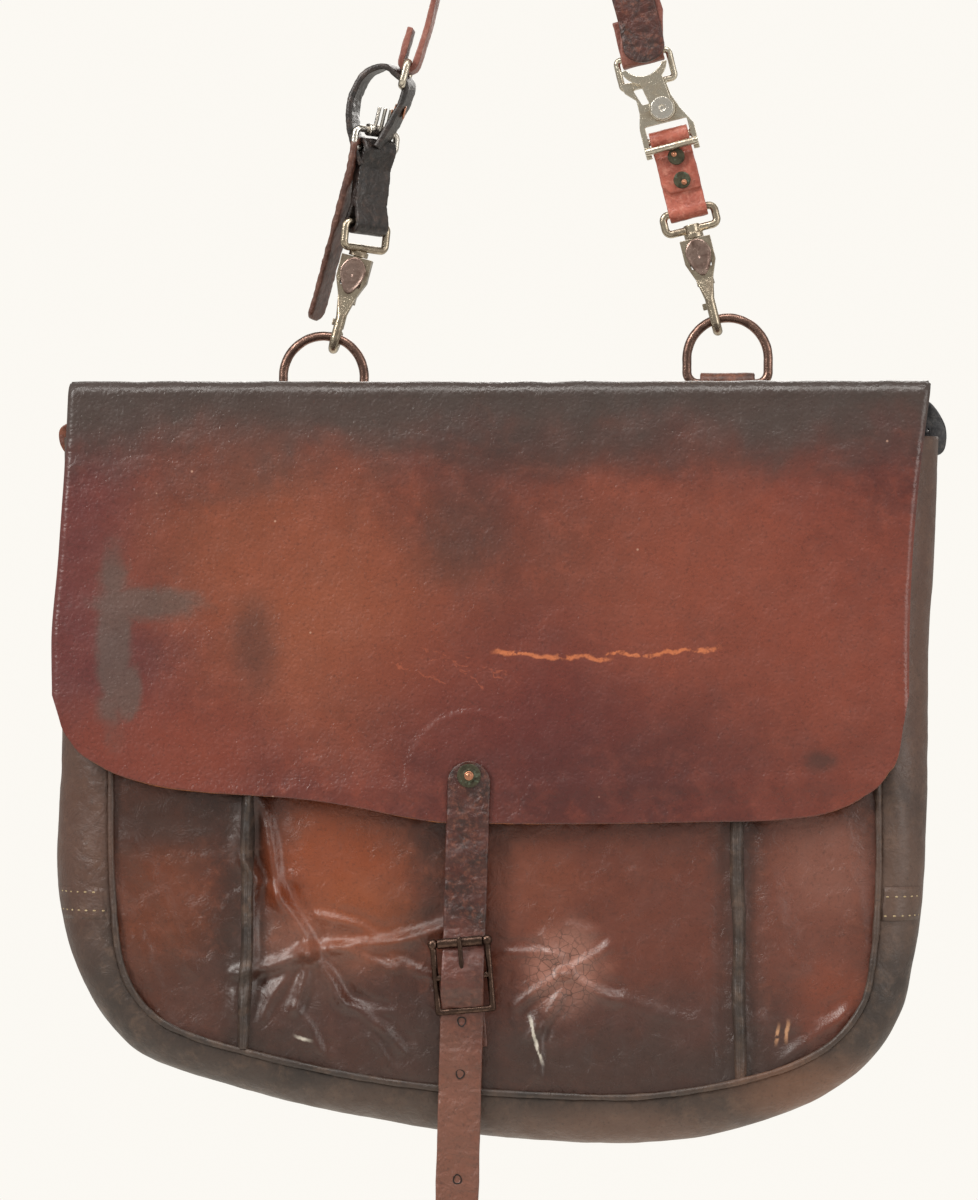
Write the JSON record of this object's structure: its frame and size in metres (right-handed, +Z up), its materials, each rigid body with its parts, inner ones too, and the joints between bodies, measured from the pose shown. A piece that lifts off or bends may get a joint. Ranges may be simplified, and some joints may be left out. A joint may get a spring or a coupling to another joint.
{
  "type": "satchel bag",
  "caption": "Leather satchel with a full-width flap, buckled closing strap and a shoulder strap clipped to D-rings by swivel snap hooks.",
  "frame": {"origin": "axis of the peg that the shoulder strap hangs over", "axes": "+Z up, +X to the bag's right seen from the front, +Y towards the wall behind the bag"},
  "size_m": [0.439, 0.131, 0.7579],
  "materials": {
    "flap_leather": "worn oxblood leather with a dark upper band",
    "body_leather": "glossy creased brown leather",
    "gusset_leather": "dull dark brown leather, worn at the edges",
    "strap_leather": "dark wrinkled strap leather",
    "sling_leather": "faded pinkish brown strap leather",
    "black_leather": "black oiled leather",
    "verdigris": "green corroded rivet washers",
    "bronze": "darkened bronze wire",
    "nickel": "tarnished nickel-plated brass"
  },
  "bodies": {
    "strap": {"shoulder_strap": "sling_leather", "strap_tail": "sling_leather", "strap_link": "nickel", "adjuster_loop": "black_leather", "adjuster_loop_rivet": "nickel", "adjuster_frame": "nickel", "lower_strap_left": "black_leather", "swivel_eye_left": "nickel", "quick_release_frame": "nickel", "quick_release_rivet": "nickel", "lower_strap_right": "sling_leather", "lower_strap_rivets": "verdigris", "swivel_loop_right": "nickel"},
    "fork": {"adjuster_fork": "nickel"},
    "lever": {"quick_release_lever": "nickel"},
    "hook_left": {"snap_hook_left": "nickel", "snap_gate_pin_left": "nickel"},
    "gate_left": {"snap_gate_left": "nickel"},
    "hook_right": {"snap_hook_right": "nickel", "snap_gate_pin_right": "nickel"},
    "gate_right": {"snap_gate_right": "nickel"},
    "ring_left": {"d_ring_left": "bronze"},
    "ring_right": {"d_ring_right": "bronze"},
    "bag": {"back_panel": "body_leather", "front_panel_left": "body_leather", "front_panel_centre": "body_leather", "front_panel_right": "body_leather", "front_seam_left": "gusset_leather", "front_seam_right": "gusset_leather", "front_welt": "gusset_leather", "gusset_left": "gusset_leather", "gusset_right": "gusset_leather", "gusset_bottom": "gusset_leather", "gusset_band_left": "gusset_leather", "gusset_band_right": "gusset_leather", "ring_chape_left": "body_leather", "ring_chape_right": "body_leather", "ring_chape_rivets": "nickel", "buckle_chape": "body_leather", "buckle_chape_rivet": "nickel"},
    "buckle": {"buckle_frame": "bronze"},
    "roller": {"buckle_roller": "bronze"},
    "prong": {"buckle_prong": "bronze"},
    "flap_top": {"flap_top": "flap_leather"},
    "flap_front": {"flap_front": "flap_leather", "closing_strap_rivet": "verdigris"},
    "closing_strap": {"closing_strap": "strap_leather"}
  },
  "joints": [
    {"name": "fork_swing", "type": "hinge", "parent": "strap", "child": "fork", "pos_m": [-0.07125, 0, -0.19126], "axis": [0.7032, 0.7071, -0.0739], "range_deg": [-60, 0]},
    {"name": "lever_turn", "type": "hinge", "parent": "strap", "child": "lever", "pos_m": [0.07603, -0.006, -0.18054], "axis": [0, 1, 0], "range_deg": [0, 50]},
    {"name": "snap_turn_left", "type": "hinge", "parent": "strap", "child": "hook_left", "pos_m": [-0.08067, 0, -0.25542], "axis": [0.2588, 0, 0.9659], "range_deg": [-10, 10]},
    {"name": "snap_gate_turn_left", "type": "hinge", "parent": "hook_left", "child": "gate_left", "pos_m": [-0.08662, 0.0042, -0.27764], "axis": [0.9659, 0, -0.2588], "range_deg": [-22, 0], "stiffness_Nm_per_rad": 0.03, "springref_deg": 11.46},
    {"name": "snap_turn_right", "type": "hinge", "parent": "strap", "child": "hook_right", "pos_m": [0.09241, 0, -0.24623], "axis": [-0.2419, 0, 0.9703], "range_deg": [-10, 10]},
    {"name": "snap_gate_turn_right", "type": "hinge", "parent": "hook_right", "child": "gate_right", "pos_m": [0.09798, 0.0042, -0.26854], "axis": [0.9703, 0, 0.2419], "range_deg": [-22, 0], "stiffness_Nm_per_rad": 0.03, "springref_deg": 11.46},
    {"name": "ring_swing", "type": "hinge", "parent": "strap", "child": "ring_left", "pos_m": [-0.09206, 0, -0.29792], "axis": [0.9991, 0, 0.0432], "range_deg": [-30, 20]},
    {"name": "ring_swing_right", "type": "hinge", "parent": "strap", "child": "ring_right", "pos_m": [0.10306, 0, -0.28892], "axis": [0.9991, 0, 0.0432], "range_deg": [-30, 20]},
    {"name": "bag_swing", "type": "hinge", "parent": "ring_left", "child": "bag", "pos_m": [-0.0985, 0, -0.3306], "axis": [0.9991, 0, 0.0432], "range_deg": [-20, 15]},
    {"name": "flap_lift", "type": "hinge", "parent": "bag", "child": "flap_top", "pos_m": [-0.008, -0.0078, -0.3245], "axis": [-1, 0, 0], "range_deg": [0, 70]},
    {"name": "flap_fold", "type": "hinge", "parent": "flap_top", "child": "flap_front", "pos_m": [-0.008, -0.0761, -0.3235], "axis": [-1, 0, 0], "range_deg": [0, 70]},
    {"name": "closing_strap_swing", "type": "hinge", "parent": "flap_front", "child": "closing_strap", "pos_m": [-0.01859, -0.09996, -0.542], "axis": [-1, 0, 0], "range_deg": [0, 60], "deforming": ["closing_strap"]},
    {"name": "buckle_rock", "type": "hinge", "parent": "bag", "child": "buckle", "pos_m": [-0.0206, -0.10831, -0.619], "axis": [0.9962, 0, 0.0872], "range_deg": [0, 6]},
    {"name": "prong_swing", "type": "hinge", "parent": "buckle", "child": "prong", "pos_m": [-0.0206, -0.10831, -0.619], "axis": [0.9962, 0, 0.0872], "range_deg": [0, 78]},
    {"name": "roller_spin", "type": "hinge", "parent": "buckle", "child": "roller", "pos_m": [-0.02209, -0.10831, -0.60206], "axis": [0.9962, 0, 0.0872], "continuous": true}
  ],
  "couplings": [
    {"joint": "ring_swing_right", "follows": "ring_swing", "ratio": 1},
    {"joint": "flap_fold", "follows": "flap_lift", "ratio": 1},
    {"joint": "buckle_rock", "follows": "closing_strap_swing", "ratio": 0.1},
    {"joint": "prong_swing", "follows": "closing_strap_swing", "ratio": 1.3}
  ]
}
